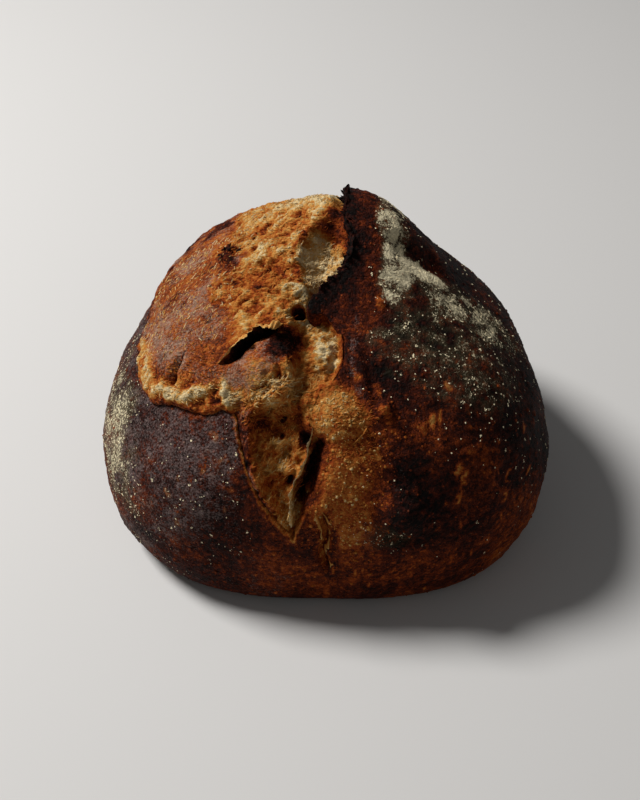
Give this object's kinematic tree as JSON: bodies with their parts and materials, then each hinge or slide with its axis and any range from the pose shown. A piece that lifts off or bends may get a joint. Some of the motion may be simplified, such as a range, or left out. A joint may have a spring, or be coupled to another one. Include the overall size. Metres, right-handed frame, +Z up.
{
  "type": "sourdough loaf",
  "caption": "Round, dark baked sourdough loaf with a torn open top, a lifted crust flap and a flat base.",
  "frame": {"origin": "middle of the loaf's box at the height of the flat base it stands on", "axes": "+Z up, +X to the right as the loaf is seen from its torn front, and +Y to its back"},
  "size_m": [0.2228, 0.2183, 0.1615],
  "materials": {
    "dark_crust": "dark brown baked crust, dry and slightly satin, with fine blisters",
    "golden_tear": "golden brown torn crust and toasted crumb, rough and matte",
    "char": "burnt black edges, matte",
    "flour": "dry flour, powdery and matte"
  },
  "bodies": {
    "root": {"loaf": "dark_crust"}
  },
  "joints": []
}
